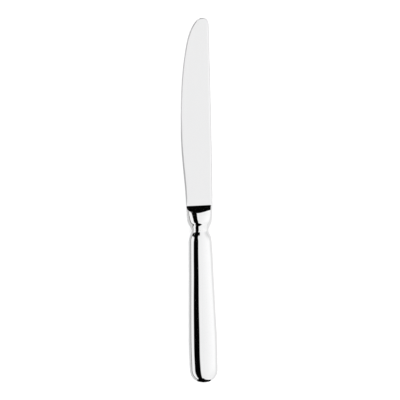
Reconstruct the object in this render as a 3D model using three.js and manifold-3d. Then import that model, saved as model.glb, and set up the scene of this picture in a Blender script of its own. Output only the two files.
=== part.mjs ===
// Dessert knife with a hollow handle, millimetres, +Z up.
// The knife lies flat: +Y runs along it towards the blade's tip, +X is towards the spine,
// the cutting edge is on -X. Profiles are written in the knife's own coordinates (u, v, z):
// u across the blade, v along the handle's axis with v = 0 at the root of the blade, z up from
// the plane in which the blade and the handle's parting line lie.

import * as THREE from 'three';
import { mergeVertices } from 'three/addons/utils/BufferGeometryUtils.js';
import Module from 'manifold-3d';

// ---------------------------------------------------------------- driving dimensions

// blade outline, edge side from the root round the tip and back along the spine: [u, v]
const BLADE_OUTLINE = [
  [-7.50, 0], [-7.67, 5], [-7.88, 10], [-8.22, 15], [-8.58, 20], [-8.91, 25], [-9.18, 30],
  [-9.36, 35], [-9.42, 40], [-9.35, 45], [-9.21, 50], [-9.05, 55], [-8.85, 60], [-8.57, 65],
  [-8.20, 70], [-7.72, 75], [-7.12, 80], [-6.40, 85], [-5.52, 90], [-4.68, 94], [-3.57, 98],
  [-2.25, 101.5], [-0.72, 104.5], [0.70, 106.45], [2.20, 107.72], [3.80, 108.32],
  [5.30, 108.38], [6.60, 108.02], [7.52, 107.27], [8.05, 106.15], [8.23, 104.7],
  [8.24, 103.0], [8.22, 98], [8.18, 90], [8.17, 80], [8.15, 70], [8.12, 60], [8.07, 50], [7.99, 40],
  [7.90, 30], [7.79, 20], [7.65, 10], [7.50, 0],
];
const FLANK_Z = 0.912;        // half thickness of the blade on the axis at its root
const FLANK_U = 0.0384;       // the flank is one plane: thicker towards the spine ...
const FLANK_V = -0.0046;      // ... and thinner towards the tip
const EDGE_BEVEL = 0.8;       // width of the sharpened bevel along the cutting edge
const SPINE_ROUND = 1.0;      // width of the rounding along the spine
const ROOT_BLEND = 8;         // length over which bevel and rounding fade in from the root

// mitre: the ramp that rises from the blade's flank to the collar
const RAMP_SLOPE = 0.913;     // rise per mm along the axis, on the axis
const RAMP_TWIST = 0.0098;    // the ramp is steeper towards the spine by this much per mm
const RAMP_FOOT_V = 0.179;    // where the ramp starts on the axis
const RAMP_FOOT_SLANT = 0.0236;
const RAMP_FOOT_FILLET = 0.152;
const RAMP_CREST_EDGE = 0.123; // rounding where the ramp meets the collar, on the edge side ...
const RAMP_CREST_SPINE = 0.121; // ... and on the spine side
const MITRE_END_V = -5.6;     // rear face of the mitre

// collar, neck and handle: half widths and half thicknesses along the axis: [v, value]
const HALF_WIDTH = [
  [-101.65, 7.88], [-95, 7.95], [-90, 8.02], [-85, 8.09], [-80, 8.09], [-74, 8.0], [-66, 7.80],
  [-58, 7.57], [-50, 7.34], [-42, 7.13], [-34, 6.95], [-28, 6.82], [-24, 6.70], [-21, 6.61],
  [-18, 6.64], [-15, 6.74], [-12, 6.88], [-9, 7.06], [-6, 7.24], [-3, 7.39], [0, 7.50],
];
const HALF_THICK = [
  [-101.65, 4.372], [-95, 4.884], [-88, 4.980], [-80, 4.936], [-66, 4.826], [-58, 4.758], [-50, 4.700],
  [-42, 4.670], [-34, 4.650], [-26, 4.610], [-20, 4.389], [-14, 4.689], [-10, 5.353], [-7, 5.052],
  [-4.5, 4.705], [0, 4.293],
];
// the sections are superellipses, squarer at the mitre and towards the butt: [v, power]
const SECTION_POWER = [
  [-102, 1.900], [-90, 2.246], [-77, 2.218], [-63, 2.235], [-50, 2.209], [-37, 2.132], [-25, 2.097],
  [-18, 1.993], [-12, 1.977], [-9, 1.966], [-7.2, 1.999], [-5.6, 2.057], [-4.4, 2.158], [-3.4, 2.340],
  [-2.4, 2.600], [-1.2, 2.620], [0, 2.640],
];
// towards the spine the section is squarer, a little on the collar and much more at the mitre's
// front: [where each step starts, its length, what it adds to the power]
const SPINE_POWER = [[-10.0, 6.8, 0.60], [-3.2, 2.0, 4.20]];
const NECK_V = -14.0;         // narrowest line of the neck groove in plan
const NECK_WIDTH = 3.3;       // length scale of the groove in plan
const NECK_DEPTH_U = 2.0;     // groove depth on the outline
const NECK_V_Z = -13.890;     // thinnest line of the neck groove in side view
const NECK_DEPTH_Z = 1.346;   // groove depth on the top and underside
const NECK_FRONT_Z = [3.539, 4.378]; // length scale and power of its slope to the collar ...
const NECK_REAR_Z = [3.272, 1.392]; // ... and to the handle
const BUTT_V = -101.65;       // end of the butt
const BUTT_CAP = [7.882, 2.303]; // length and power of the rounded butt in plan
const BUTT_CAP_Z = [12.006, 2.588]; // and in side view

// hollow handle
const SHELL_WALL = 0.8;
const SEAM_HALF = 0.10;       // half thickness of the braze in the parting plane
const SEAM_GAP = 0.02;
const SHELL_MOUTH_V = -14.16; // front face of the shells
const RING_V = [-14.14, -13.98];
const FERRULE_V = [-13.96, -5.64];
const SPIGOT_A = 3.86;        // half width of the ferrule's spigot
const SPIGOT_B = 2.28;        // half thickness of the ferrule's spigot
const SPIGOT_END_V = -17.5;
const FERRULE_BORE = [        // [v, half width, half thickness]
  [-5.5, 6.25, 3.65], [-7.5, 6.15, 3.60], [-9.0, 5.70, 3.35], [-10.65, 4.90, 2.75],
  [-12.4, 4.00, 2.20], [-13.9, 3.36, 1.80], [-17.6, 3.36, 1.80],
];
const BORE_POWER = 2.05;
const CORE_GAP = 0.15;        // between the cement and the metal round it
const CORE_FRONT_V = -6.55;

// boss and tang behind the mitre
const BOSS_A = 6.0;
const BOSS_B = 3.4;
const BOSS_END_V = -6.35;
const TANG_HALF_THICK = 1.0;
const TANG_HALF_WIDTH = 1.9;
const TANG_TIP_HALF_WIDTH = 1.5;
const TANG_END_V = -68;
const TANG_NOTCHES = [-28, -40, -52];
const TANG_NOTCH_R = 0.8;

// ---------------------------------------------------------------- helpers

const wasm = await Module();
wasm.setup();

// natural cubic spline through [x, y] points, x increasing
function spline(points) {
  const n = points.length;
  const x = points.map((p) => p[0]);
  const y = points.map((p) => p[1]);
  const m = new Array(n).fill(0);
  const c = new Array(n).fill(0);
  const d = new Array(n).fill(0);
  for (let i = 1; i < n - 1; i++) {
    const h0 = x[i] - x[i - 1];
    const h1 = x[i + 1] - x[i];
    const r = 6 * ((y[i + 1] - y[i]) / h1 - (y[i] - y[i - 1]) / h0);
    const den = 2 * (h0 + h1) - h0 * c[i - 1];
    c[i] = h1 / den;
    d[i] = (r - h0 * d[i - 1]) / den;
  }
  for (let i = n - 2; i > 0; i--) m[i] = d[i] - c[i] * m[i + 1];
  return (q) => {
    let i = 0;
    while (i < n - 2 && q > x[i + 1]) i++;
    const h = x[i + 1] - x[i];
    const a = (x[i + 1] - q) / h;
    const b = (q - x[i]) / h;
    return a * y[i] + b * y[i + 1] + ((a ** 3 - a) * m[i] + (b ** 3 - b) * m[i + 1]) * h * h / 6;
  };
}

// piecewise linear lookup in rows of [v, ...], v in any one order
function lookup(rows, v, col) {
  const s = [...rows].sort((p, q) => p[0] - q[0]);
  if (v <= s[0][0]) return s[0][col];
  for (let i = 1; i < s.length; i++) {
    if (v <= s[i][0]) {
      const t = (v - s[i - 1][0]) / (s[i][0] - s[i - 1][0]);
      return s[i - 1][col] + t * (s[i][col] - s[i - 1][col]);
    }
  }
  return s[s.length - 1][col];
}

const clamp01 = (t) => Math.min(1, Math.max(0, t));
const smooth = (t) => { const s = clamp01(t); return s * s * (3 - 2 * s); };
const softMin = (a, b, k) => { const h = Math.max(k - Math.abs(a - b), 0); return Math.min(a, b) - h * h / (4 * k); };
const softMax = (a, b, k) => -softMin(-a, -b, k);

// unit superellipse
const seX = (t, n) => Math.sign(Math.sin(t)) * Math.abs(Math.sin(t)) ** (2 / n);
const seZ = (t, n) => {
  const c = Math.cos(t);
  return Math.abs(c) < 1e-12 ? 0 : Math.sign(c) * Math.abs(c) ** (2 / n);
};

// superellipse ring with a flat facet at the top and at the bottom, where the knife lies, and a
// corner on each side; its power is higher by more towards the spine
function ringAt(v, a, b, count, n = BORE_POWER, more = 0) {
  const pts = [];
  for (let k = 0; k < count; k++) {
    const t = (2 * Math.PI * (k + 0.5)) / count;
    const m = Math.sin(t) > 0 ? n + more : n;
    pts.push([a * seX(t, m), v, b * seZ(t, m) / seZ(Math.PI / count, m)]);
  }
  return pts;
}

// closed body through rings of equal length; a ring of one point is an apex, and a last ring
// whose two halves lie on each other closes by itself
function loft(rings, foldedEnd = false) {
  const pos = [];
  const idx = [];
  const start = rings.map((r) => { const s = pos.length / 3; r.forEach((p) => pos.push(...p)); return s; });
  const tri = (a, b, c) => idx.push(a, b, c);
  for (let i = 0; i + 1 < rings.length; i++) {
    const n0 = rings[i].length;
    const n1 = rings[i + 1].length;
    const n = Math.max(n0, n1);
    for (let k = 0; k < n; k++) {
      const k1 = (k + 1) % n;
      if (n0 === 1) tri(start[i], start[i + 1] + k, start[i + 1] + k1);
      else if (n1 === 1) tri(start[i] + k, start[i + 1], start[i] + k1);
      else {
        tri(start[i] + k, start[i + 1] + k, start[i + 1] + k1);
        tri(start[i] + k, start[i + 1] + k1, start[i] + k1);
      }
    }
  }
  for (const [end, flip] of [[0, false], [rings.length - 1, true]]) {
    const ring = rings[end];
    if (ring.length === 1 || (flip && foldedEnd)) continue;
    const c = pos.length / 3;
    const mid = [0, 0, 0];
    ring.forEach((p) => p.forEach((q, j) => { mid[j] += q / ring.length; }));
    pos.push(...mid);
    for (let k = 0; k < ring.length; k++) {
      const k1 = (k + 1) % ring.length;
      if (flip) tri(c, start[end] + k1, start[end] + k);
      else tri(c, start[end] + k, start[end] + k1);
    }
  }
  return cleaned(pos, idx);
}

// shared vertices, no collapsed triangles, faces pointing out
function cleaned(pos, idx) {
  let g = new THREE.BufferGeometry();
  g.setAttribute('position', new THREE.Float32BufferAttribute(pos, 3));
  g.setIndex(idx);
  g = mergeVertices(g, 1e-4);
  const p = g.getAttribute('position');
  const out = [];
  let volume = 0;
  const [a, b, c] = [new THREE.Vector3(), new THREE.Vector3(), new THREE.Vector3()];
  for (let i = 0; i < g.index.count; i += 3) {
    const [i0, i1, i2] = [g.index.getX(i), g.index.getX(i + 1), g.index.getX(i + 2)];
    if (i0 === i1 || i1 === i2 || i2 === i0) continue;
    out.push(i0, i1, i2);
    a.fromBufferAttribute(p, i0);
    b.fromBufferAttribute(p, i1);
    c.fromBufferAttribute(p, i2);
    volume += a.dot(b.cross(c)) / 6;
  }
  if (volume < 0) {
    for (let i = 0; i < out.length; i += 3) [out[i + 1], out[i + 2]] = [out[i + 2], out[i + 1]];
  }
  g.setIndex(out);
  return g;
}

function toSolid(geometry) {
  let g = geometry.clone();
  g.deleteAttribute('normal');
  g.deleteAttribute('uv');
  g = mergeVertices(g, 1e-5);
  return new wasm.Manifold(new wasm.Mesh({
    numProp: 3,
    vertProperties: new Float32Array(g.getAttribute('position').array),
    triVerts: new Uint32Array(g.index.array),
  }));
}

function toGeometry(solid) {
  const m = solid.getMesh();
  const pos = [];
  for (let i = 0; i < m.vertProperties.length; i += m.numProp) pos.push(m.vertProperties[i], m.vertProperties[i + 1], m.vertProperties[i + 2]);
  const g = new THREE.BufferGeometry();
  g.setAttribute('position', new THREE.Float32BufferAttribute(pos, 3));
  g.setIndex([...m.triVerts]);
  g.computeVertexNormals();
  return g;
}

function slab(z0, z1) {
  const g = new THREE.BoxGeometry(60, 260, z1 - z0);
  g.translate(0, 0, (z0 + z1) / 2);
  return toSolid(g);
}

// ---------------------------------------------------------------- profiles

const widthLine = spline(HALF_WIDTH);
const thickLine = spline(HALF_THICK);
const power = spline(SECTION_POWER);
const spinePower = (v) => SPINE_POWER.reduce((p, [start, length, add]) => p + add * smooth((v - start) / length), 0);

// share of the full section that is left in the rounded butt
function buttCap([length, pow], v, inset) {
  const t = clamp01((BUTT_V + length - v) / (length - inset));
  return (1 - t ** pow) ** (1 / pow);
}

// half width and half thickness of the collar, neck and handle, moved in by inset
function body(v, inset = 0) {
  const grooveU = Math.exp(-(((v - NECK_V) / NECK_WIDTH) ** 2));
  const [scale, pow] = v > NECK_V_Z ? NECK_FRONT_Z : NECK_REAR_Z;
  const grooveZ = Math.exp(-(Math.abs((v - NECK_V_Z) / scale) ** pow));
  return [
    (widthLine(v) - NECK_DEPTH_U * grooveU - inset) * buttCap(BUTT_CAP, v, inset),
    (thickLine(v) - NECK_DEPTH_Z * grooveZ - inset) * buttCap(BUTT_CAP_Z, v, inset),
  ];
}
const bodyRing = (v, count, inset = 0) => ringAt(v, ...body(v, inset), count, power(v), spinePower(v));

// blade outline by arc length, split at the tip into an edge side and a spine side
const outline = (() => {
  const s = [0];
  for (let i = 1; i < BLADE_OUTLINE.length; i++) {
    s.push(s[i - 1] + Math.hypot(BLADE_OUTLINE[i][0] - BLADE_OUTLINE[i - 1][0], BLADE_OUTLINE[i][1] - BLADE_OUTLINE[i - 1][1]));
  }
  const fu = spline(BLADE_OUTLINE.map((p, i) => [s[i], p[0]]));
  const fv = spline(BLADE_OUTLINE.map((p, i) => [s[i], p[1]]));
  const end = s[s.length - 1];
  let tip = 0;
  for (let q = 0; q <= end; q += 0.01) if (fv(q) > fv(tip)) tip = q;
  const at = (q) => {
    const e = 1e-3;
    const du = fu(q + e) - fu(q - e);
    const dv = fv(q + e) - fv(q - e);
    const l = Math.hypot(du, dv);
    return { u: fu(q), v: fv(q), nu: dv / l, nv: -du / l };
  };
  return { edge: (t) => at(t * tip), spine: (t) => at(end - t * (end - tip)) };
})();

const flank = (u, v) => FLANK_Z + FLANK_U * u + FLANK_V * v;
const rise = (u, v) => softMax(0, (RAMP_SLOPE + RAMP_TWIST * u) * (RAMP_FOOT_V + RAMP_FOOT_SLANT * u - v), RAMP_FOOT_FILLET);

// ---------------------------------------------------------------- blade, mitre, boss and tang

const RING_POINTS = 26;

const RIM = 3;                // points across the bevel and across the spine's rounding
const FLANK_COLS = 6;
const [ROOT_A, ROOT_B] = body(0);
const ROOT_POWER = power(0);
const THETA_EDGE = Math.acos((flank(-ROOT_A, 0) / ROOT_B) ** (ROOT_POWER / 2));
const THETA_SPINE = Math.acos((flank(ROOT_A, 0) / ROOT_B) ** (ROOT_POWER / 2));
const thetaEdge = (k) => -Math.PI / 2 + (Math.PI / 2 - THETA_EDGE) * (k / RIM);
const thetaSpine = (k) => Math.PI / 2 - (Math.PI / 2 - THETA_SPINE) * (k / RIM);
const thetaFlank = (k) => -THETA_EDGE + (THETA_SPINE + THETA_EDGE) * (k / FLANK_COLS);
const rootX = (t) => seX(t, ROOT_POWER);
const flankFrac = (k) => (rootX(thetaFlank(k)) - rootX(-THETA_EDGE)) / (rootX(THETA_SPINE) - rootX(-THETA_EDGE));

function mirrored(top) {
  const ring = [...top];
  for (let k = top.length - 2; k > 0; k--) ring.push([top[k][0], top[k][1], -top[k][2]]);
  return ring;
}

// section of the mitre: the collar's section, cut down by the ramp
function mitreRing(v) {
  const [a, b] = body(v);
  const n = power(v);
  const fade = smooth(-v / 3);
  const bevel = EDGE_BEVEL * (0.06 + 0.19 * smooth((v + 3) / 3));
  const point = (t) => {
    const u = a * seX(t, n);
    const d = a - Math.abs(u);
    if (d < 1e-9) return [u, v, 0];
    const m = u > 0 ? n + spinePower(v) : n;
    const full = b * (1 - (Math.abs(u) / a) ** m) ** (1 / m);
    const q = clamp01(d / (u > 0 ? SPINE_ROUND : bevel));
    const share = u > 0 ? Math.sqrt(1 - (1 - q) ** 2) : q;
    const soft = 0.1 + ((u > 0 ? RAMP_CREST_SPINE : RAMP_CREST_EDGE) - 0.1) * fade;
    return [u, v, Math.max(0.02, softMin(full, (flank(u, v) + rise(u, v)) * share, soft))];
  };
  const top = [];
  for (let k = 0; k <= RIM; k++) top.push(point(thetaEdge(k)));
  for (let k = 1; k < FLANK_COLS; k++) top.push(point(thetaFlank(k)));
  for (let k = RIM; k >= 0; k--) top.push(point(thetaSpine(k)));
  return mirrored(top);
}

// row of the blade from the edge to the spine, at the share t of the way to the tip
function bladeRing(t) {
  const e = outline.edge(t);
  const s = outline.spine(t);
  const tipMix = smooth((t - 0.9) / 0.1);
  const rim = (p, k, isEdge) => {
    const w = smooth(p.v / ROOT_BLEND);
    const q = k / RIM;
    const th = isEdge ? thetaEdge(k) : thetaSpine(k);
    const rootD = ROOT_A * (1 - Math.abs(rootX(th)));
    const rootShare = Math.abs(seZ(th, ROOT_POWER)) / Math.abs(seZ(isEdge ? THETA_EDGE : THETA_SPINE, ROOT_POWER));
    const bevel = [EDGE_BEVEL * q, q];
    const bull = [SPINE_ROUND * (1 - Math.cos(q * Math.PI / 2)), Math.sin(q * Math.PI / 2)];
    const mid = [0.5 * (bevel[0] + bull[0]), 0.5 * (bevel[1] + bull[1])];
    const own = isEdge ? bevel : bull;
    const d0 = own[0] + (mid[0] - own[0]) * tipMix;
    const f0 = own[1] + (mid[1] - own[1]) * tipMix;
    const d = rootD + (d0 - rootD) * w;
    const f = rootShare + (f0 - rootShare) * w;
    const u = p.u + p.nu * d;
    const v = p.v + p.nv * d;
    return [u, v, f < 1e-9 ? 0 : f * flank(u, v)];
  };
  const top = [];
  for (let k = 0; k <= RIM; k++) top.push(rim(e, k, true));
  const l = top[RIM];
  const r = rim(s, RIM, false);
  for (let k = 1; k < FLANK_COLS; k++) {
    const f = flankFrac(k);
    const u = l[0] + (r[0] - l[0]) * f;
    const v = l[1] + (r[1] - l[1]) * f;
    top.push([u, v, flank(u, v)]);
  }
  for (let k = RIM; k >= 0; k--) top.push(rim(s, k, false));
  return mirrored(top);
}

function tangShape(grow, frontV) {
  const w0 = TANG_HALF_WIDTH;
  const w1 = TANG_TIP_HALF_WIDTH;
  const half = (v) => w0 + (w1 - w0) * clamp01((-20 - v) / (TANG_END_V + 3 + 20) * -1);
  const side = [];
  side.push([half(-10) + grow, frontV]);
  for (const n of TANG_NOTCHES) {
    const r = TANG_NOTCH_R - grow;
    for (let k = 0; k <= 6; k++) {
      const a = Math.PI * (k / 6);
      side.push([half(n) + grow - r * Math.sin(a), n + r * Math.cos(a)]);
    }
  }
  side.push([w1 + grow, TANG_END_V + 2.2]);
  side.push([0.8 + grow * 0.5, TANG_END_V - grow]);
  const shape = new THREE.Shape();
  side.forEach(([x, y], i) => (i ? shape.lineTo(x, y) : shape.moveTo(x, y)));
  [...side].reverse().forEach(([x, y]) => shape.lineTo(-x, y));
  shape.closePath();
  const g = new THREE.ExtrudeGeometry(shape, { depth: 2 * (TANG_HALF_THICK + grow), bevelEnabled: false, steps: 1 });
  g.translate(0, 0, -(TANG_HALF_THICK + grow));
  return toSolid(g);
}

const bladeRings = [];
for (const v of [MITRE_END_V, -5.0, -4.5, -4.0, -3.5, -3.0, -2.4, -1.6, -0.8, -0.2]) bladeRings.push(mitreRing(v));
const BLADE_ROWS = 20;
for (let i = 0; i <= BLADE_ROWS; i++) {
  const t = i / BLADE_ROWS;
  bladeRings.push(bladeRing(Math.max(0.008, 0.55 * t + 0.45 * (1 - (1 - t) ** 2))));
}
const bladeSolid = toSolid(loft(bladeRings, true))
  .add(toSolid(loft([ringAt(MITRE_END_V + 0.6, BOSS_A, BOSS_B, RING_POINTS), ringAt(BOSS_END_V, BOSS_A, BOSS_B, RING_POINTS)])))
  .add(tangShape(0, MITRE_END_V + 1));

// ---------------------------------------------------------------- ferrule and braze ring

const span = (v0, v1, n) => Array.from({ length: n + 1 }, (_, i) => v0 + (v1 - v0) * (i / n));

const ferruleOuter = loft(span(FERRULE_V[0], FERRULE_V[1], 10).map((v) => bodyRing(v, RING_POINTS)));
const spigot = loft([ringAt(FERRULE_V[0] + 0.5, SPIGOT_A, SPIGOT_B, RING_POINTS), ringAt(SPIGOT_END_V, SPIGOT_A, SPIGOT_B, RING_POINTS)]);
const bore = (inset, vs) => loft(vs.map((v) => ringAt(v, lookup(FERRULE_BORE, v, 1) - inset, lookup(FERRULE_BORE, v, 2) - inset, RING_POINTS)));
const BORE_V = [-18.5, -13.9, -12.4, -10.65, -9.0, -7.5, -5.0];
const ferruleSolid = toSolid(ferruleOuter).add(toSolid(spigot)).subtract(toSolid(bore(0, BORE_V)));

const ringSolid = toSolid(loft(RING_V.map((v) => bodyRing(v, RING_POINTS))))
  .subtract(toSolid(loft([ringAt(RING_V[0] - 1, SPIGOT_A + 0.06, SPIGOT_B + 0.06, RING_POINTS), ringAt(RING_V[1] + 1, SPIGOT_A + 0.06, SPIGOT_B + 0.06, RING_POINTS)])));

// ---------------------------------------------------------------- handle shells, seam and core

const HANDLE_V = [
  ...span(SHELL_MOUTH_V, -21, 7), -24, -29, -37, -46, -55, -64, -72, -79, -85, -90, -93.5,
  -96, -98, -99.5, -100.5, -101.2,
];
function handleBody(inset, vs, apex) {
  const rings = vs.filter((v) => v > apex + 0.12).map((v) => bodyRing(v, RING_POINTS, inset));
  rings.push([[0, apex, 0]]);
  return loft(rings);
}
const shellOuter = toSolid(handleBody(0, HANDLE_V, BUTT_V));
const mouth = HANDLE_V[0];
const mouthSection = [...body(mouth, SHELL_WALL), RING_POINTS, power(mouth)];
const cavityRings = HANDLE_V.filter((v) => v > BUTT_V + SHELL_WALL + 0.12).map((v) => bodyRing(v, RING_POINTS, SHELL_WALL));
const cavity = toSolid(loft([ringAt(mouth + 1, ...mouthSection), ...cavityRings, [[0, BUTT_V + SHELL_WALL, 0]]]));
const shellSolid = shellOuter.subtract(cavity);
const frontSolid = shellSolid.intersect(slab(SEAM_HALF + SEAM_GAP, 40));
const backSolid = shellSolid.intersect(slab(-40, -SEAM_HALF - SEAM_GAP));
const seamSolid = shellSolid.intersect(slab(-SEAM_HALF, SEAM_HALF));

const coreInset = SHELL_WALL + CORE_GAP;
const coreRings = [];
for (const v of [CORE_FRONT_V, -7.5, -9.0, -10.65, -12.4, -13.9, SPIGOT_END_V - 0.15]) {
  coreRings.push(ringAt(v, lookup(FERRULE_BORE, v, 1) - CORE_GAP, lookup(FERRULE_BORE, v, 2) - CORE_GAP, RING_POINTS));
}
const CORE_STEP_V = SPIGOT_END_V - 0.35;
coreRings.push(bodyRing(CORE_STEP_V, RING_POINTS, coreInset));
for (const v of HANDLE_V) {
  if (v < CORE_STEP_V - 0.3 && v > BUTT_V + coreInset + 0.12) coreRings.push(bodyRing(v, RING_POINTS, coreInset));
}
coreRings.push([[0, BUTT_V + coreInset, 0]]);
const coreSolid = toSolid(loft(coreRings)).subtract(tangShape(CORE_GAP, 5));

// ---------------------------------------------------------------- assembly

const polished = () => new THREE.MeshStandardMaterial({ color: 0xe3e4e6, roughness: 0.08, metalness: 1 });
const bladeSteel = () => new THREE.MeshStandardMaterial({ color: 0xdddee0, roughness: 0.14, metalness: 1 });
const braze = () => new THREE.MeshStandardMaterial({ color: 0xd8cfae, roughness: 0.25, metalness: 1 });
const cement = () => new THREE.MeshStandardMaterial({ color: 0x8d8274, roughness: 0.9, metalness: 0 });

const knife = new THREE.Group();
function piece(name, solid, material) {
  const mesh = new THREE.Mesh(toGeometry(solid), material);
  mesh.name = name;
  knife.add(mesh);
}
piece('blade', bladeSolid, bladeSteel());
piece('ferrule', ferruleSolid, polished());
piece('neck_braze_ring', ringSolid, braze());
piece('handle_shell_front', frontSolid, polished());
piece('handle_shell_back', backSolid, polished());
piece('seam_braze', seamSolid, braze());
piece('cement_core', coreSolid, cement());

// the origin is under the middle of the knife, on the surface that it lies on
const KNIFE_SHIFT = [0.6, -3.37, 5.300];
knife.position.set(...KNIFE_SHIFT);

const part = new THREE.Group();
part.add(knife);

export default part;
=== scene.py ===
import bpy
import bmesh
import math
import numpy as np
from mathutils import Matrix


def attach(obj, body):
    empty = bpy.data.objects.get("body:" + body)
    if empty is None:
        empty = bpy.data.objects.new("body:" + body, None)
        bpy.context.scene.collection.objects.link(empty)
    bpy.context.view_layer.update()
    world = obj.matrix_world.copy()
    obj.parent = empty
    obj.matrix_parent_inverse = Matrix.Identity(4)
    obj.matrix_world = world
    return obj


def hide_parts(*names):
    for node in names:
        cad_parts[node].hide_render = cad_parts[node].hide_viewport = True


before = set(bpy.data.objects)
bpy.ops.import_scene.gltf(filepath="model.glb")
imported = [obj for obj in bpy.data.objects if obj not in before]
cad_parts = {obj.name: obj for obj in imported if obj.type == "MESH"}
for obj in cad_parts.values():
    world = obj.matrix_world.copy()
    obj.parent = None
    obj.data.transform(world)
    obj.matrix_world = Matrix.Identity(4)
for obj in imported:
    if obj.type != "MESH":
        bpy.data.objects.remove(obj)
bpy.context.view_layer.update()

# ------------------------------------------------------------------ the knife's own coordinates
# u across the blade (+u spine), v along the axis (v = 0 at the blade's root, + to the tip),
# z up from the plane of the blade, all in millimetres
SHIFT = np.array([0.6, -3.37, 5.300])

OUTLINE = [
    (-7.50, 0), (-7.67, 5), (-7.88, 10), (-8.22, 15), (-8.58, 20), (-8.91, 25), (-9.18, 30),
    (-9.36, 35), (-9.42, 40), (-9.35, 45), (-9.21, 50), (-9.05, 55), (-8.85, 60), (-8.57, 65),
    (-8.20, 70), (-7.72, 75), (-7.12, 80), (-6.40, 85), (-5.52, 90), (-4.68, 94), (-3.57, 98),
    (-2.25, 101.5), (-0.72, 104.5), (0.70, 106.45), (2.20, 107.72), (3.80, 108.32),
    (5.30, 108.38), (6.60, 108.02), (7.52, 107.27), (8.05, 106.15), (8.23, 104.7),
    (8.24, 103.0), (8.22, 98), (8.18, 90), (8.17, 80), (8.15, 70), (8.12, 60), (8.07, 50), (7.99, 40),
    (7.90, 30), (7.79, 20), (7.65, 10), (7.50, 0)]
FLANK = (0.912, 0.0384, -0.0046)
BEVEL = [(-6, 0.05), (-3, 0.06), (-1.5, 0.10), (0, 0.20), (2, 0.60), (4, 0.88), (8, 1.00), (14, 1.04), (25, 0.95),
         (40, 0.80), (55, 0.66), (70, 0.62), (85, 0.63), (96, 0.67), (102, 0.70), (106.2, 0.74),
         (107.7, 0.58), (108.4, 0.20)]
SPINE_ROUND = 1.0
EDGE_GROUND = [(0, 1.0), (32, 1.0), (58, 0.72), (94, 0.74), (102, 0.82), (107, 0.88), (108.2, 0.78)]
# strength of the painted shade on the spine: its base colour is darkened to stand in for the shaded floor it reflects
SPINE_PAINTED_SHADE = 1.0

RAMP_SLOPE, RAMP_TWIST = 0.913, 0.0098
RAMP_FOOT_V, RAMP_FOOT_SLANT, RAMP_FILLET = 0.179, 0.0236, 0.152
CREST_EDGE, CREST_SPINE = 0.123, 0.121
MITRE_END = -5.6

HALF_WIDTH = [
    (-101.65, 7.88), (-95, 7.95), (-90, 8.02), (-85, 8.09), (-80, 8.09), (-74, 8.0), (-66, 7.80),
    (-58, 7.57), (-50, 7.34), (-42, 7.13), (-34, 6.95), (-28, 6.82), (-24, 6.70), (-21, 6.61),
    (-18, 6.64), (-15, 6.74), (-12, 6.88), (-9, 7.06), (-6, 7.24), (-3, 7.39), (0, 7.50)]
HALF_THICK = [
    (-101.65, 4.372), (-95, 4.884), (-88, 4.980), (-80, 4.936), (-66, 4.826), (-58, 4.758), (-50, 4.700),
    (-42, 4.670), (-34, 4.650), (-26, 4.610), (-20, 4.389), (-14, 4.689), (-10, 5.353), (-7, 5.052),
    (-4.5, 4.705), (0, 4.293)]
POWER = [
    (-102, 1.900), (-90, 2.246), (-77, 2.218), (-63, 2.235), (-50, 2.209), (-37, 2.132), (-25, 2.097),
    (-18, 1.993), (-12, 1.977), (-9, 1.966), (-7.2, 1.999), (-5.6, 2.057), (-4.4, 2.158), (-3.4, 2.340),
    (-2.4, 2.600), (-1.2, 2.620), (0, 2.640)]
# towards the spine the section is squarer, a little on the collar and much more at the mitre's front:
# where each step starts, how long it is and how much it adds
SPINE_POWER = [(-10.0, 6.8, 0.60), (-3.2, 2.0, 4.20)]
NECK_U = (-14.0, 3.3, 2.0)
NECK_Z = (-13.890, 1.346, (3.539, 4.378), (3.272, 1.392))
BUTT_V = -101.65
CAP_U, CAP_Z = (7.882, 2.303), (12.006, 2.588)

WALL, SEAM_HALF, SHELL_GAP = 0.8, 0.10, 0.12
MOUTH_V = -14.16
RING_V = (-14.14, -13.98)
FERRULE_V = (-13.96, -5.64)
SPIGOT = (3.86, 2.28, -17.5)
BORE = [(-17.6, 3.36, 1.80), (-13.9, 3.36, 1.80), (-12.4, 4.00, 2.20), (-10.65, 4.90, 2.75),
        (-9.0, 5.70, 3.35), (-7.5, 6.15, 3.60), (-5.5, 6.25, 3.65)]
BORE_POWER = 2.05
BOSS = (6.0, 3.4, -6.35)
TANG = (1.9, 1.5, 1.0, -68.0)
NOTCHES, NOTCH_R = (-28.0, -40.0, -52.0), 0.8


def spline(points):
    """Natural cubic spline through (x, y) points."""
    x = np.array([p[0] for p in points], float)
    y = np.array([p[1] for p in points], float)
    n, h = len(x), np.diff(x)
    a, r = np.zeros((n, n)), np.zeros(n)
    a[0, 0] = a[-1, -1] = 1
    for i in range(1, n - 1):
        a[i, i - 1], a[i, i], a[i, i + 1] = h[i - 1], 2 * (h[i - 1] + h[i]), h[i]
        r[i] = 6 * ((y[i + 1] - y[i]) / h[i] - (y[i] - y[i - 1]) / h[i - 1])
    m = np.linalg.solve(a, r)

    def value(q):
        q = np.asarray(q, float)
        i = np.clip(np.searchsorted(x, q) - 1, 0, n - 2)
        s, t = (x[i + 1] - q) / h[i], (q - x[i]) / h[i]
        return s * y[i] + t * y[i + 1] + ((s ** 3 - s) * m[i] + (t ** 3 - t) * m[i + 1]) * h[i] ** 2 / 6
    return value


def smooth(t):
    t = np.clip(t, 0, 1)
    return t * t * (3 - 2 * t)


def soft_min(a, b, k):
    h = np.maximum(k - np.abs(a - b), 0)
    return np.minimum(a, b) - h * h / (4 * k)


width_line, thick_line = spline(HALF_WIDTH), spline(HALF_THICK)


power_line = spline(POWER)


def spine_line(v):
    return sum(add * smooth((v - start) / length) for start, length, add in SPINE_POWER)


def butt_cap(cap, v, inset):
    t = np.clip((BUTT_V + cap[0] - v) / (cap[0] - inset), 0, 1)
    return (1 - t ** cap[1]) ** (1 / cap[1])


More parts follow.
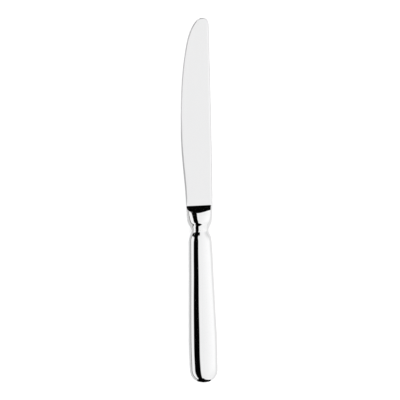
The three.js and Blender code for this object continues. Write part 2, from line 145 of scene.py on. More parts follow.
def body(v, inset=0.0):
    """Half width and half thickness of the collar, neck and handle, moved in by inset."""
    g_u = np.exp(-((v - NECK_U[0]) / NECK_U[1]) ** 2)
    d = v - NECK_Z[0]
    front = np.exp(-np.abs(d / NECK_Z[2][0]) ** NECK_Z[2][1])
    rear = np.exp(-np.abs(d / NECK_Z[3][0]) ** NECK_Z[3][1])
    g_z = np.where(d > 0, front, rear)
    return ((width_line(v) - NECK_U[2] * g_u - inset) * butt_cap(CAP_U, v, inset),
            (thick_line(v) - NECK_Z[1] * g_z - inset) * butt_cap(CAP_Z, v, inset))


def flank(u, v):
    return FLANK[0] + FLANK[1] * u + FLANK[2] * v


def rise(u, v):
    x = (RAMP_SLOPE + RAMP_TWIST * u) * (RAMP_FOOT_V + RAMP_FOOT_SLANT * u - v)
    return -soft_min(0, -x, RAMP_FILLET)


# ------------------------------------------------------------------ mesh helpers

def to_row(points):
    return (np.asarray(points, float) + SHIFT) / 1000.0


def piece(name, node, points, faces, material, sharp=(), grind_and_shade=None):
    """Closed mesh from points in knife coordinates, welded, facing out, smooth but for the sharp edges."""
    mesh = bpy.data.meshes.new(name)
    mesh.from_pydata(to_row(points).tolist(), [], faces)
    bm = bmesh.new()
    bm.from_mesh(mesh)
    bm.verts.ensure_lookup_table()
    layer = bm.verts.layers.float.new("grind_and_shade")
    if grind_and_shade is not None:
        for vert, value in zip(bm.verts, grind_and_shade):
            vert[layer] = float(value)
    for a, b in sharp:
        e = bm.edges.get((bm.verts[a], bm.verts[b]))
        if e is not None:
            e.smooth = False
    bmesh.ops.remove_doubles(bm, verts=bm.verts, dist=2e-8)
    bmesh.ops.dissolve_degenerate(bm, dist=1e-8, edges=bm.edges)
    loose = [v for v in bm.verts if not v.link_faces]
    bmesh.ops.delete(bm, geom=loose, context="VERTS")
    bmesh.ops.recalc_face_normals(bm, faces=bm.faces)
    if bm.calc_volume(signed=True) < 0:
        bmesh.ops.reverse_faces(bm, faces=bm.faces)
    for f in bm.faces:
        f.smooth = True
    open_edges = sum(1 for e in bm.edges if len(e.link_faces) != 2)
    print("piece", name, "faces", len(bm.faces), "open edges", open_edges,
          "volume mm3 %.1f" % (bm.calc_volume() * 1e9))
    bm.to_mesh(mesh)
    bm.free()
    mesh.materials.append(material)
    obj = bpy.data.objects.new(name, mesh)
    bpy.context.scene.collection.objects.link(obj)
    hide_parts(node)
    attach(obj, "root")
    return obj


def ring_faces(rows, cols, base=0, loop=False):
    """Quads between closed rings of equal length that follow each other in the point list."""
    out = []
    for i in range(rows if loop else rows - 1):
        a, b = base + i * cols, base + ((i + 1) % rows) * cols
        for j in range(cols):
            k = (j + 1) % cols
            out.append((a + j, a + k, b + k, b + j))
    return out


def section(a, b, n, count, v, more=0.0):
    """Closed superellipse ring of count points, with a power higher by more towards the spine."""
    t = 2 * np.pi * np.arange(count) / count
    s, c = np.sin(t), np.cos(t)
    n = n + np.where(s > 0, more, 0.0)
    u = a * np.sign(s) * np.abs(s) ** (2 / n)
    z = b * np.sign(c) * np.where(np.abs(c) < 1e-12, 0, np.abs(c)) ** (2 / n)
    return np.stack([u, np.full(count, v), z], 1)


# ------------------------------------------------------------------ materials

class Nodes:
    """Small builder for shader node trees."""

    def __init__(self, tree):
        self.tree = tree

    def put(self, socket, value):
        if isinstance(value, bpy.types.NodeSocket):
            self.tree.links.new(value, socket)
        else:
            socket.default_value = value

    def add(self, kind, inputs=None, **props):
        node = self.tree.nodes.new(kind)
        for key, value in props.items():
            setattr(node, key, value)
        for key, value in (inputs or {}).items():
            self.put(node.inputs[key], value)
        return node

    def math(self, op, *args):
        node = self.tree.nodes.new("ShaderNodeMath")
        node.operation = op
        for i, a in enumerate(args):
            self.put(node.inputs[i], a)
        return node.outputs[0]

    def step(self, x, lo, hi, a=0.0, b=1.0):
        node = self.tree.nodes.new("ShaderNodeMapRange")
        node.interpolation_type = "SMOOTHSTEP"
        node.clamp = True
        self.put(node.inputs["Value"], x)
        self.put(node.inputs["From Min"], lo)
        self.put(node.inputs["From Max"], hi)
        self.put(node.inputs["To Min"], a)
        self.put(node.inputs["To Max"], b)
        return node.outputs["Result"]


def new_material(name):
    mat = bpy.data.materials.new(name)
    mat.use_nodes = True
    mat.node_tree.nodes.clear()
    g = Nodes(mat.node_tree)
    out = g.add("ShaderNodeOutputMaterial")
    bsdf = g.add("ShaderNodeBsdfPrincipled")
    g.put(out.inputs["Surface"], bsdf.outputs["BSDF"])
    return mat, g, bsdf


def polish(g, bsdf, coords, rough, lines_scale, lines_slope, tone_lo, tone_hi, grind_and_shade_mask=None, dull_and_shade=None):
    """Polished steel: soft smudges and fine polishing lines in roughness, faint waves in the surface."""
    smudge = g.add("ShaderNodeTexNoise", {"Vector": coords, "Scale": 55.0, "Detail": 5.0, "Roughness": 0.62})
    stretch = g.add("ShaderNodeVectorMath", {0: coords, 1: lines_scale}, operation="MULTIPLY")
    lines = g.add("ShaderNodeTexNoise", {"Vector": stretch.outputs[0], "Scale": 1.0, "Detail": 3.0, "Roughness": 0.7})
    fleck = g.add("ShaderNodeTexNoise", {"Vector": coords, "Scale": 900.0, "Detail": 4.0, "Roughness": 0.6})
    r = g.step(smudge.outputs["Fac"], 0.32, 0.72, rough[0], rough[1])
    r = g.math("MULTIPLY", r, g.step(lines.outputs["Fac"], 0.25, 0.8, 0.8, 1.35))
    mixed = g.math("ADD", g.math("MULTIPLY", smudge.outputs["Fac"], 0.6), g.math("MULTIPLY", fleck.outputs["Fac"], 0.4))
    # where the mask is high the tone drops to the dull shades: a duller ground bevel on the cutting edge, and painted
    # shade on the spine
    if grind_and_shade_mask is not None:
        mixed = g.math("MULTIPLY", mixed, g.math("SUBTRACT", 1.0, grind_and_shade_mask))
    tone = g.add("ShaderNodeValToRGB", {"Fac": mixed})
    tone.color_ramp.elements[0].position, tone.color_ramp.elements[0].color = 0.35, (*tone_lo, 1)
    tone.color_ramp.elements[1].position, tone.color_ramp.elements[1].color = 0.65, (*tone_hi, 1)
    for place, shade in dull_and_shade or ():
        tone.color_ramp.elements.new(place).color = (*shade, 1)
    wave = g.add("ShaderNodeTexNoise", {"Vector": coords, "Scale": 160.0, "Detail": 1.0})
    bump1 = g.add("ShaderNodeBump", {"Height": wave.outputs["Fac"], "Strength": 1.0, "Distance": 2.5e-6})
    bump2 = g.add("ShaderNodeBump", {"Height": lines.outputs["Fac"], "Strength": 1.0, "Distance": lines_slope,
                                     "Normal": bump1.outputs["Normal"]})
    g.put(bsdf.inputs["Base Color"], tone.outputs["Color"])
    g.put(bsdf.inputs["Normal"], bump2.outputs["Normal"])
    bsdf.inputs["Metallic"].default_value = 1.0
    return r


def handle_steel():
    mat, g, bsdf = new_material("handle_steel")
    coords = g.add("ShaderNodeTexCoord").outputs["Object"]
    r = polish(g, bsdf, coords, (0.010, 0.022), (5200.0, 70.0, 5200.0), 1.5e-7,
               (0.852, 0.853, 0.858), (0.872, 0.872, 0.874))
    g.put(bsdf.inputs["Roughness"], r)
    return mat


def blade_steel():
    mat, g, bsdf = new_material("blade_steel")
    coords = g.add("ShaderNodeTexCoord").outputs["Object"]
    # mask of the ground cutting-edge bevel and of the painted shade on the spine's rounding
    grind_and_shade_mask = g.add("ShaderNodeAttribute", attribute_name="grind_and_shade", attribute_type="GEOMETRY").outputs["Fac"]
    r = polish(g, bsdf, coords, (0.118, 0.142), (90.0, 4200.0, 4200.0), 1.5e-7,
               (0.841, 0.842, 0.847), (0.857, 0.857, 0.859), grind_and_shade_mask,
               # the dull shades serve both the ground bevel and the painted shade on the spine
               [(0.0, (0.66, 0.66, 0.665)), (0.10, (0.78, 0.78, 0.785))])
    xyz = g.add("ShaderNodeSeparateXYZ", {"Vector": coords})
    # the forged mitre is polished brighter than the ground flanks
    keep = g.step(xyz.outputs["Y"], -0.0026, 0.004, 0.3, 1.0)
    r = g.math("MULTIPLY", r, keep)
    # the cutting edge is ground coarser than the flanks, with scratches across the edge
    scratch_scale = g.add("ShaderNodeVectorMath", {0: coords, 1: (300.0, 9000.0, 300.0)}, operation="MULTIPLY")
    scratch = g.add("ShaderNodeTexNoise", {"Vector": scratch_scale.outputs[0], "Scale": 1.0, "Detail": 2.0})
    coarse = g.math("MULTIPLY", grind_and_shade_mask, g.step(scratch.outputs["Fac"], 0.25, 0.75, 0.45, 0.62))
    g.put(bsdf.inputs["Roughness"], g.math("MAXIMUM", r, coarse))
    return mat


def braze_metal():
    mat, g, bsdf = new_material("braze")
    coords = g.add("ShaderNodeTexCoord").outputs["Object"]
    r = polish(g, bsdf, coords, (0.03, 0.07), (2600.0, 90.0, 2600.0), 2e-7,
               (0.835, 0.825, 0.80), (0.865, 0.86, 0.845))
    g.put(bsdf.inputs["Roughness"], r)
    return mat


def cement():
    mat, g, bsdf = new_material("cement")
    coords = g.add("ShaderNodeTexCoord").outputs["Object"]
    grain = g.add("ShaderNodeTexNoise", {"Vector": coords, "Scale": 1400.0, "Detail": 6.0, "Roughness": 0.7})
    clot = g.add("ShaderNodeTexVoronoi", {"Vector": coords, "Scale": 420.0})
    tone = g.add("ShaderNodeValToRGB", {"Fac": grain.outputs["Fac"]})
    tone.color_ramp.elements[0].position, tone.color_ramp.elements[0].color = 0.3, (0.20, 0.17, 0.14, 1)
    tone.color_ramp.elements[1].position, tone.color_ramp.elements[1].color = 0.7, (0.42, 0.37, 0.31, 1)
    height = g.math("ADD", grain.outputs["Fac"], g.math("MULTIPLY", clot.outputs["Distance"], 0.6))
    bump = g.add("ShaderNodeBump", {"Height": height, "Strength": 0.8, "Distance": 1.2e-4})
    g.put(bsdf.inputs["Base Color"], tone.outputs["Color"])
    g.put(bsdf.inputs["Normal"], bump.outputs["Normal"])
    g.put(bsdf.inputs["Roughness"], g.step(clot.outputs["Distance"], 0.0, 0.6, 0.75, 0.95))
    return mat


HANDLE, BLADE, BRAZE, CEMENT = handle_steel(), blade_steel(), braze_metal(), cement()

# ------------------------------------------------------------------ blade with mitre, boss and tang

_o = np.array(OUTLINE, float)
_s = np.r_[0, np.cumsum(np.hypot(*np.diff(_o, axis=0).T))]
_fu, _fv = spline(list(zip(_s, _o[:, 0]))), spline(list(zip(_s, _o[:, 1])))
_q = np.linspace(0, _s[-1], 40001)
TIP = _q[int(np.argmax(_fv(_q)))]
END = _s[-1]


def outline_at(q):
    e = 1e-3
    du, dv = _fu(q + e) - _fu(q - e), _fv(q + e) - _fv(q - e)
    l = np.hypot(du, dv)
    return np.array([_fu(q), _fv(q)]), np.array([dv / l, -du / l])


A_COLS, B_COLS, FLANK_COLS = 4, 14, 28
RIM = A_COLS + B_COLS
RIM_REACH = 1.4


def bevel_width(v):
    return float(np.interp(v, [p[0] for p in BEVEL], [p[1] for p in BEVEL]))


def rim_steps(v, mix):
    """Distances in from the outline of the columns on the edge side and on the spine side."""
    w = bevel_width(v)
    left = np.r_[w * np.arange(A_COLS) / A_COLS, w + (RIM_REACH - w) * (np.arange(B_COLS + 1) / B_COLS) ** 1.5]
    k = RIM - 4
    right = np.r_[SPINE_ROUND * (1 - np.cos(np.pi / 2 * np.arange(k + 1) / k)),
                  SPINE_ROUND + (RIM_REACH - SPINE_ROUND) * np.arange(1, 5) / 4]
    both = 0.5 * (left + right)
    return left + (both - left) * mix, right + (both - right) * mix


def rim_share(d, v, mix, is_edge):
    """Share of the flank's height at the distance d from the outline."""
    q = np.clip(d / bevel_width(v), 0, 1)
    b = np.clip(d / SPINE_ROUND, 0, 1)
    b = np.sqrt(np.maximum(1 - (1 - b) ** 2, 0))
    m = np.clip(d / (0.5 * (bevel_width(v) + 0.72 * SPINE_ROUND)), 0, 1)
    m = 0.5 * m + 0.5 * np.sqrt(np.maximum(1 - (1 - m) ** 2, 0))
    own = q if is_edge else b
    return own + (m - own) * mix


def mirrored(top):
    low = top[-2:0:-1].copy()
    low[:, 2] *= -1
    return np.vstack([top, low])


def mitre_top(v):
    """Upper half of the section at v <= 0: the collar's section cut down by the ramp."""
    a, b = (float(x) for x in body(v))
    left, right = rim_steps(v, 0.0)
    u = np.r_[-a + left, np.linspace(-a + left[-1], a - right[-1], FLANK_COLS + 1)[1:-1], (a - right)[::-1]]
    d = np.minimum(u + a, a - u)
    share = np.where(u < 0, rim_share(d, v, 0.0, True), rim_share(d, v, 0.0, False))
    n = float(power_line(v)) + np.where(u > 0, float(spine_line(v)), 0.0)
    full = b * np.maximum(1 - np.clip(np.abs(u) / a, 0, 1) ** n, 0) ** (1 / n)
    k = 0.1 + (np.where(u > 0, CREST_SPINE, CREST_EDGE) - 0.1) * smooth(-v / 3.0)
    z = soft_min(full, (flank(u, v) + rise(u, v)) * share, k)
    z = np.maximum(z, 0.002)
    z[0] = z[-1] = 0.0
    return np.stack([u, np.full_like(u, v), z], 1)


def blade_top(t):
    """Upper half of the blade's row at the share t of the way to the tip."""
    mix = float(smooth((t - 0.9) / 0.1))
    (pe, ne), (ps, ns) = outline_at(t * TIP), outline_at(END - t * (END - TIP))
    left, right = rim_steps(pe[1], mix)
    dl, dr = left, right
    lp = pe + np.outer(dl, ne)
    rp = ps + np.outer(dr, ns)
    fl = rim_share(dl, pe[1], mix, True)
    fr = rim_share(dr, ps[1], mix, False)
    s = np.linspace(0, 1, FLANK_COLS + 1)[1:-1, None]
    mid = lp[-1] + (rp[-1] - lp[-1]) * s
    uv = np.vstack([lp, mid, rp[::-1]])
    share = np.r_[fl, np.ones(len(mid)), fr[::-1]]
    z = share * (flank(uv[:, 0], uv[:, 1]) + np.where(uv[:, 1] < 2.0, rise(uv[:, 0], uv[:, 1]), 0))
    z[0] = z[-1] = 0.0
    return np.column_stack([uv, z])


def build_blade():
    tops = []
    first = mitre_top(MITRE_END)
    a0 = float(body(MITRE_END)[0])
    w = np.clip(first[:, 0] / a0, -1, 1)

    def like(a, b, n, v):
        z = b * np.maximum(1 - np.abs(w) ** n, 0) ** (1 / n)
        z[0] = z[-1] = 0
        return np.stack([a * w, np.full_like(w, v), z], 1)

    def tang_half(v):
        half = TANG[0] + (TANG[1] - TANG[0]) * np.clip((-20 - v) / 45.0, 0, 1)
        for nv in NOTCHES:
            if abs(v - nv) < NOTCH_R:
                half -= math.sqrt(NOTCH_R ** 2 - (v - nv) ** 2)
        return half

    tang_v = [TANG[3], TANG[3] + 0.2, TANG[3] + 1.0, TANG[3] + 2.2]
    for v in np.linspace(TANG[3] + 4, -7.5, 40):
        if all(abs(v - nv) > NOTCH_R + 0.3 for nv in NOTCHES):
            tang_v.append(float(v))
    for nv in NOTCHES:
        tang_v += [nv - NOTCH_R * math.cos(math.pi * k / 12) for k in range(13)]
        tang_v += [nv - NOTCH_R - 0.05, nv + NOTCH_R + 0.05]
    for v in sorted(tang_v):
        half = tang_half(v)
        thick = TANG[2]
        if v < TANG[3] + 2.2:
            f = (v - TANG[3]) / 2.2
            half = 0.8 + (TANG[1] - 0.8) * f
            thick = TANG[2] * (0.75 + 0.25 * min(1, f * 3))
        tops.append(like(half, thick, 8.0, v))
    tops.append(like(TANG[0], TANG[2], 8.0, BOSS[2]))
    marks = [0, len(tops) - 1]
    tops.append(like(BOSS[0], BOSS[1], BORE_POWER, BOSS[2]))
    marks.append(len(tops) - 1)
    tops.append(like(BOSS[0], BOSS[1], BORE_POWER, MITRE_END))
    marks.append(len(tops) - 1)
    tops.append(first)
    marks.append(len(tops) - 1)
    first_mitre = len(tops) - 1
    for v in np.linspace(MITRE_END, 0, 71)[1:]:
        tops.append(mitre_top(float(v)))
    first_blade = len(tops)
    ts = list(np.linspace(0, 2.4, 31)[1:] / TIP)
    ts += list(np.linspace(2.4 / TIP, 0.88, 200)[1:])
    ts += list(0.88 + 0.12 * (1 - (1 - np.linspace(0, 1, 90)[1:]) ** 1.6))
    for t in ts:
        tops.append(blade_top(float(t)))
    rings = [mirrored(t) for t in tops]
    cols = len(rings[0])
    points = np.vstack(rings)
    faces = ring_faces(len(rings), cols)
    # the tang's end closes on a middle point
    points = np.vstack([points, rings[0].mean(0)])
    c = len(points) - 1
    faces += [(c, (j + 1) % cols, j) for j in range(cols)]
    sharp = []
    for i in marks:
        sharp += [(i * cols + j, i * cols + (j + 1) % cols) for j in range(cols)]
    for i in range(first_blade - 30, len(rings) - 1):
        for j in (0, A_COLS, cols - A_COLS):
            sharp.append((i * cols + j, (i + 1) * cols + j))
    # the bevel is ground along the whole edge; the outer part of the spine's rounding gets painted shade, a darker base
    # colour standing in for the shaded floor it reflects
    half = len(tops[0])
    grind_and_shade = np.zeros(len(points))
    for i in range(first_blade - 6, len(rings)):
        share = min(1.0, (i - first_blade + 6) / 6)
        tip = smooth((i - (len(rings) - 60)) / 40.0)
        honed = float(np.interp(tops[i][0, 1], [p[0] for p in EDGE_GROUND], [p[1] for p in EDGE_GROUND]))
        for j in range(half):
            e = honed if j < A_COLS else (0.5 * honed if j == A_COLS else 0.0)
            k = half - 1 - j
            back = SPINE_ROUND * (1 - math.cos(math.pi / 2 * min(1.0, k / (RIM - 4))))
            # painted shade on the spine's outer strip, weaker towards the tip
            e = max(e, SPINE_PAINTED_SHADE * (1 - 0.8 * tip) * (1 - smooth((back - 0.16) / 0.34)))
            grind_and_shade[i * cols + j] = e * share
            if 0 < j < half - 1:
                grind_and_shade[i * cols + cols - j] = e * share
    return piece("knife_blade", "blade", points, faces, BLADE, sharp, grind_and_shade)


build_blade()

# ------------------------------------------------------------------ ferrule and braze ring

COLS = 144


def body_ring(v, inset=0.0):
    a, b = body(np.float64(v), inset)
    return section(float(a), float(b), float(power_line(v)), COLS, v, float(spine_line(v)))


def bore_at(v):
    vs = [r[0] for r in BORE]
    return float(np.interp(v, vs, [r[1] for r in BORE])), float(np.interp(v, vs, [r[2] for r in BORE]))


def build_ferrule():
    rings, marks = [], []
    for v in np.linspace(FERRULE_V[1], FERRULE_V[0], 72):
        rings.append(body_ring(float(v)))
    marks += [0, len(rings) - 1]
    for v in np.linspace(FERRULE_V[0], SPIGOT[2] + 0.25, 12):
        rings.append(section(SPIGOT[0], SPIGOT[1], BORE_POWER, COLS, float(v)))
    marks.append(len(rings) - 12)
    rings.append(section(SPIGOT[0] - 0.2, SPIGOT[1] - 0.2, BORE_POWER, COLS, SPIGOT[2]))
    for v in np.linspace(SPIGOT[2], FERRULE_V[1], 48):
        a, b = bore_at(float(v))
        rings.append(section(a, b, BORE_POWER, COLS, float(v)))
    marks += [len(rings) - 49, len(rings) - 48, len(rings) - 1]
    points = np.vstack(rings)
    faces = ring_faces(len(rings), COLS, loop=True)
    sharp = [(i * COLS + j, i * COLS + (j + 1) % COLS) for i in marks for j in range(COLS)]
    return piece("collar_ferrule", "ferrule", points, faces, HANDLE, sharp)


def build_neck_ring():
    rings = [body_ring(RING_V[1]), body_ring(0.5 * (RING_V[0] + RING_V[1])), body_ring(RING_V[0])]
    for v in RING_V:
        rings.append(section(SPIGOT[0] + 0.06, SPIGOT[1] + 0.06, BORE_POWER, COLS, v))
    points = np.vstack(rings)
    faces = ring_faces(len(rings), COLS, loop=True)
    sharp = [(i * COLS + j, i * COLS + (j + 1) % COLS) for i in (0, 2, 3, 4) for j in range(COLS)]
    return piece("neck_braze", "neck_braze_ring", points, faces, BRAZE, sharp)


build_ferrule()
build_neck_ring()

# ------------------------------------------------------------------ handle shells and seam

HALF_COLS = 72


def handle_stations(inset):
    """Stations along the handle from its mouth to its end, close together in the neck and the butt."""
    end = BUTT_V + inset
    front = np.linspace(MOUTH_V, -24.0, 90)
    mid = np.linspace(-24.0, BUTT_V + CAP_U[0], 110)[1:]
    th = np.linspace(0, 1, 90)[1:]
    t = np.sin(th * np.pi / 2) ** (2 / CAP_U[1])
    cap = (BUTT_V + CAP_U[0]) - t * (BUTT_V + CAP_U[0] - end)
    cap[-1] = end + 2e-4
    return np.r_[front, mid, cap]


def half_ring(v, inset):
    a, b = (float(x) for x in body(np.float64(v), inset))
    n = float(power_line(v))
    t = np.linspace(-np.pi / 2, np.pi / 2, HALF_COLS + 1)
    s, c = np.sin(t), np.cos(t)
    c[0] = c[-1] = 0.0
    u = a * np.sign(s) * np.abs(s) ** (2 / n)
    gap = min(SHELL_GAP, 0.9 * b)
    z = gap + (b - gap) * np.maximum(c, 0) ** (2 / n)
    return np.stack([u, np.full_like(u, v), z], 1)


def build_shell(name, node, side):
    outer = [half_ring(float(v), 0.0) for v in handle_stations(0.0)]
    inner = [half_ring(float(v), WALL) for v in handle_stations(WALL)]
    rows, cols = len(outer), HALF_COLS + 1
    points = np.vstack(outer + inner)
    off = rows * cols
    faces = []
    for i in range(rows - 1):
        for j in range(cols - 1):
            a, b = i * cols + j, (i + 1) * cols + j
            faces.append((a, b, b + 1, a + 1))
            faces.append((off + a, off + a + 1, off + b + 1, off + b))
        for j in (0, cols - 1):
            a, b = i * cols + j, (i + 1) * cols + j
            faces.append((a, off + a, off + b, b) if j == 0 else (a, b, off + b, off + a))
    for j in range(cols - 1):
        faces.append((j, j + 1, off + j + 1, off + j))
    last = (rows - 1) * cols
    co, ci = len(points), len(points) + 1
    points = np.vstack([points, [[0, outer[-1][0, 1], outer[-1][0, 2]], [0, inner[-1][0, 1], inner[-1][0, 2]]]])
    for j in range(cols - 1):
        faces.append((co, last + j + 1, last + j))
        faces.append((ci, off + last + j, off + last + j + 1))
    faces.append((last, co, ci, off + last))
    faces.append((co, last + cols - 1, off + last + cols - 1, ci))
    points = points * np.array([1, 1, side])
    sharp = []
    for base in (0, off):
        sharp += [(base + j, base + j + 1) for j in range(cols - 1)]
        for j in (0, cols - 1):
            sharp += [(base + i * cols + j, base + (i + 1) * cols + j) for i in range(rows - 1)]
        sharp += [(base + last, co if base == 0 else ci), (base + last + cols - 1, co if base == 0 else ci)]
    return piece(name, node, points, faces, HANDLE, sharp)


def build_seam():
    vo, vi = handle_stations(0.0), handle_stations(WALL)
    outer = [(-float(body(v)[0]), v) for v in vo] + [(0.0, BUTT_V)] + [(float(body(v)[0]), v) for v in vo[::-1]]
    inner = [(-float(body(v, WALL)[0]), v) for v in vi] + [(0.0, BUTT_V + WALL)] + [(float(body(v, WALL)[0]), v) for v in vi[::-1]]
    n = len(outer)
    ribs = []
    for (uo, yo), (ui, yi) in zip(outer, inner):
        ribs.append([(uo, yo, -SEAM_HALF), (uo, yo, 0), (uo, yo, SEAM_HALF), (ui, yi, SEAM_HALF), (ui, yi, -SEAM_HALF)])
    points = np.array(ribs, float).reshape(-1, 3)
    faces = []
    for i in range(n - 1):
        for k in range(5):
            l = (k + 1) % 5
            faces.append((i * 5 + k, i * 5 + l, (i + 1) * 5 + l, (i + 1) * 5 + k))
    faces.append((0, 1, 2, 3, 4))
    faces.append(tuple((n - 1) * 5 + k for k in (4, 3, 2, 1, 0)))
    sharp = [(i * 5 + k, (i + 1) * 5 + k) for i in range(n - 1) for k in (0, 2, 3, 4)]
    for i in (0, n - 1):
        sharp += [(i * 5 + k, i * 5 + (k + 1) % 5) for k in range(5)]
    return piece("seam_ribbon", "seam_braze", points, faces, BRAZE, sharp)


build_shell("handle_front_shell", "handle_shell_front", 1)
build_shell("handle_back_shell", "handle_shell_back", -1)
build_seam()

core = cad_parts["cement_core"]
core.data.materials.clear()
core.data.materials.append(CEMENT)

# ------------------------------------------------------------------ studio

FLOOR_WEST, FLOOR_EAST = 0.703, 0.895
FLOOR_DARK_EAST, FLOOR_DARK_WEST = 153.4, 27.7
BUTT_CENTRE = (0.0006, -0.09702)
# angles in degrees as seen from the knife: from overhead to each side, and bearings from the north
LIGHT, LIGHT_EAST, LIGHT_WEST = 0.971, 1.134, 0.985
EAST_FADE = (-24.0, 67.2)
NORTH_FADE, SOUTH_FADE = (1.2, 167.9, 0.409), (18.8, 71.8, 0.958)
GAP, GAP_NORTH, SOFT = (11.9, 48.5), (9.5, 16.5, 2.9, -2.6), 2.0
NORTH_END, SOUTH_END = 20.2, 56.0
NORTH_BEARING, SOUTH_BEARING = (-1.9, 12.1), (179.8, 159.9)
CARD, CARD_TOP, CARD_LOW, CARD_BEARING = 1.043, 57.0, 82.0, (65.1, 154.0)
LOW_BEARINGS = (20.0, 58.0), (76.0, 138.0)
EAST_DIM, SOUTH_DIM, NORTH_WALL = 0.15, 0.3, (0.62, 0.28)


def build_floor():
    size = 3.0
    mesh = bpy.data.meshes.new("floor")
    mesh.from_pydata([(-size, -size, 0), (size, -size, 0), (size, size, 0), (-size, size, 0)], [], [(0, 1, 2, 3)])
    obj = bpy.data.objects.new("floor", mesh)
    bpy.context.scene.collection.objects.link(obj)
    mat = bpy.data.materials.new("floor_paper")
    mat.use_nodes = True
    mat.node_tree.nodes.clear()
    g = Nodes(mat.node_tree)
    out = g.add("ShaderNodeOutputMaterial")
    path = g.add("ShaderNodeLightPath")
    coords = g.add("ShaderNodeTexCoord").outputs["Object"]
    xyz = g.add("ShaderNodeSeparateXYZ", {"Vector": coords})
    x, y = xyz.outputs["X"], xyz.outputs["Y"]
    grain = g.add("ShaderNodeTexNoise", {"Vector": coords, "Scale": 240.0, "Detail": 3.0})
    paper = g.add("ShaderNodeBsdfDiffuse")
    g.put(paper.inputs["Color"], g.add("ShaderNodeCombineColor", {
        0: g.step(grain.outputs["Fac"], 0.2, 0.8, 0.90, 0.92),
        1: g.step(grain.outputs["Fac"], 0.2, 0.8, 0.90, 0.92),
        2: g.step(grain.outputs["Fac"], 0.2, 0.8, 0.90, 0.92)}).outputs[0])
    # what polished metal sees of the table is a painted glow, not the lit paper: paler to the east, darker to the west
    # as painted shadow of the knife, and a dark sector behind the butt
    side = g.step(x, -0.004, 0.010, FLOOR_WEST, FLOOR_EAST)
    bearing = g.math("MULTIPLY", g.math("ARCTAN2", g.math("SUBTRACT", x, BUTT_CENTRE[0]),
                                        g.math("SUBTRACT", y, BUTT_CENTRE[1])), 180.0 / math.pi)
    lit = g.math("MULTIPLY", g.step(bearing, FLOOR_DARK_EAST - 3, FLOOR_DARK_EAST + 3, 1.0, 0.0),
                 g.step(bearing, FLOOR_DARK_WEST - 183, FLOOR_DARK_WEST - 177, 0.0, 1.0))
    glow = g.add("ShaderNodeEmission", {"Color": (1, 1, 1, 1), "Strength": g.math("MULTIPLY", side, lit)})
    for_gloss = g.add("ShaderNodeMixShader", {0: path.outputs["Is Glossy Ray"], 1: paper.outputs[0], 2: glow.outputs[0]})
    clear = g.add("ShaderNodeBsdfTransparent")
    geo = g.add("ShaderNodeNewGeometry")
    top = g.add("ShaderNodeMixShader", {0: geo.outputs["Backfacing"], 1: for_gloss.outputs[0], 2: clear.outputs[0]})
    g.put(out.inputs["Surface"], top.outputs[0])
    mesh.materials.append(mat)


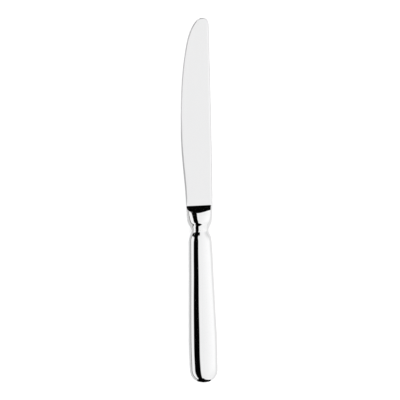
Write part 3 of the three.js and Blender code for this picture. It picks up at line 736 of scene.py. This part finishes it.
def build_world():
    world = bpy.data.worlds.new("studio")
    bpy.context.scene.world = world
    world.use_nodes = True
    world.node_tree.nodes.clear()
    g = Nodes(world.node_tree)
    out = g.add("ShaderNodeOutputWorld")
    path = g.add("ShaderNodeLightPath")
    direction = g.add("ShaderNodeTexCoord").outputs["Generated"]
    xyz = g.add("ShaderNodeSeparateXYZ", {"Vector": direction})
    rx, ry, rz = xyz.outputs["X"], xyz.outputs["Y"], xyz.outputs["Z"]
    up = g.math("MAXIMUM", rz, 1e-3)
    deg = 180.0 / math.pi

    def angle(a, b):
        return g.math("MULTIPLY", g.math("ARCTAN2", a, b), deg)

    ax, ay, az = angle(rx, up), angle(ry, up), angle(rx, ry)
    th = g.math("MULTIPLY", g.math("ARCCOSINE", g.math("MINIMUM", g.math("MAXIMUM", rz, -1.0), 1.0)), deg)
    wx, sy = g.math("MULTIPLY", ax, -1.0), g.math("MULTIPLY", ay, -1.0)
    mul, add, sub, mx = (lambda a, b: g.math("MULTIPLY", a, b)), (lambda a, b: g.math("ADD", a, b)), \
        (lambda a, b: g.math("SUBTRACT", a, b)), (lambda a, b: g.math("MAXIMUM", a, b))

    # overhead light, with a dark gap on its west side and ends to the north and south
    base = add(g.step(ax, EAST_FADE[0], EAST_FADE[1], LIGHT, LIGHT_EAST), g.step(wx, 0.0, GAP[0], 0.0, LIGHT_WEST - LIGHT))
    base = mul(mul(base, g.step(ay, NORTH_FADE[0], NORTH_FADE[1], 1.0, NORTH_FADE[2])),
               g.step(sy, SOUTH_FADE[0], SOUTH_FADE[1], 1.0, SOUTH_FADE[2]))
    bear_n = g.step(th, NORTH_END, NORTH_END + 18.0, NORTH_BEARING[0], NORTH_BEARING[1])
    bear_s = g.step(th, 55.0, 88.0, SOUTH_BEARING[0], SOUTH_BEARING[1])
    east = mul(g.step(az, sub(bear_n, 3.0), add(bear_n, 3.0)), g.step(az, sub(bear_s, 3.0), add(bear_s, 3.0), 1.0, 0.0))
    in_n = g.step(ay, NORTH_END - SOFT, NORTH_END + SOFT, 1.0, 0.0)
    in_s = g.step(sy, SOUTH_END - SOFT, SOUTH_END + SOFT, 1.0, 0.0)
    # the gap narrows a little to the north
    gap_a = g.step(ay, GAP_NORTH[0], GAP_NORTH[1], GAP[0], GAP[0] + GAP_NORTH[2])
    gap_b = g.step(ay, GAP_NORTH[0], GAP_NORTH[1], GAP[1], GAP[1] + GAP_NORTH[3])
    in_w = g.step(wx, sub(gap_a, SOFT), add(gap_a, SOFT), 1.0, 0.0)
    panel = mul(mul(base, mx(mul(in_n, in_s), east)), in_w)
    # the east light is dimmer low down, towards its north and south ends
    ends = mx(mul(g.step(az, 16.0, 30.0), g.step(az, 56.0, 84.0, 1.0, 0.0)),
              mul(g.step(az, 96.0, 124.0, 0.0, SOUTH_DIM), g.step(az, 144.0, 160.0, 1.0, 0.0)))
    panel = mul(panel, sub(1.0, mul(mul(ends, g.step(th, 40.0, 62.0)), EAST_DIM)))
    # a grey wall low down in the north
    wall = mul(mul(g.step(th, 42.0, 47.0), g.step(th, 68.0, 74.0, 1.0, 0.0)),
               mul(g.step(az, -4.5, -1.5), g.step(az, 9.0, 14.0, 1.0, 0.0)))
    panel = mx(panel, mul(wall, g.step(th, 46.0, 75.0, NORTH_WALL[0], NORTH_WALL[1])))
    # white cards round the west side, beyond the gap and low down
    west = mul(az, -1.0)

    def between(bearings):
        return mul(g.step(west, bearings[0] - 3.0, bearings[0] + 3.0), g.step(west, bearings[1] - 3.0, bearings[1] + 3.0, 1.0, 0.0))

    beyond = mul(g.step(wx, sub(gap_b, SOFT), add(gap_b, SOFT)), between(CARD_BEARING))
    low = mul(g.step(th, CARD_TOP - 1.5, CARD_TOP + 1.5), mx(between(LOW_BEARINGS[0]), between(LOW_BEARINGS[1])))
    card = mul(mul(mx(beyond, low), g.step(th, CARD_LOW - 1.0, CARD_LOW + 1.0, 1.0, 0.0)), CARD)
    seen = mx(mx(panel, card), 0.0006)
    seen = mul(seen, g.step(rz, -0.01, 0.0))
    seen = add(seen, g.step(rz, -0.01, 0.0, 0.7, 0.0))
    reflected = g.add("ShaderNodeBackground", {"Color": (1, 1, 1, 1), "Strength": seen})
    plain = g.add("ShaderNodeBackground", {"Color": (1, 1, 1, 1), "Strength": 1.7})
    backdrop = g.add("ShaderNodeBackground", {"Color": (1, 1, 1, 1), "Strength": 1.0})
    mix = g.add("ShaderNodeMixShader", {0: path.outputs["Is Glossy Ray"], 1: plain.outputs[0], 2: reflected.outputs[0]})
    mix = g.add("ShaderNodeMixShader", {0: path.outputs["Is Camera Ray"], 1: mix.outputs[0], 2: backdrop.outputs[0]})
    g.put(out.inputs["Surface"], mix.outputs[0])


build_floor()
build_world()

# ------------------------------------------------------------------ camera: straight down, the tip up

cam = bpy.data.cameras.new("camera")
cam.type = "PERSP"
cam.sensor_fit = "HORIZONTAL"
cam.sensor_width = 36.0
cam.lens = 200.0
cam.clip_start = 0.01
cam.clip_end = 20.0
camera = bpy.data.objects.new("camera", cam)
bpy.context.scene.collection.objects.link(camera)
camera.location = (0.001127, 0.0000755, 1.281 + 0.0053)
camera.rotation_euler = (0.0, 0.0, -math.atan(0.0275))
bpy.context.scene.camera = camera

bpy.context.scene.view_settings.view_transform = "Standard"
bpy.context.scene.view_settings.look = "None"
bpy.context.scene.view_settings.exposure = 0.0
bpy.context.scene.view_settings.gamma = 1.0
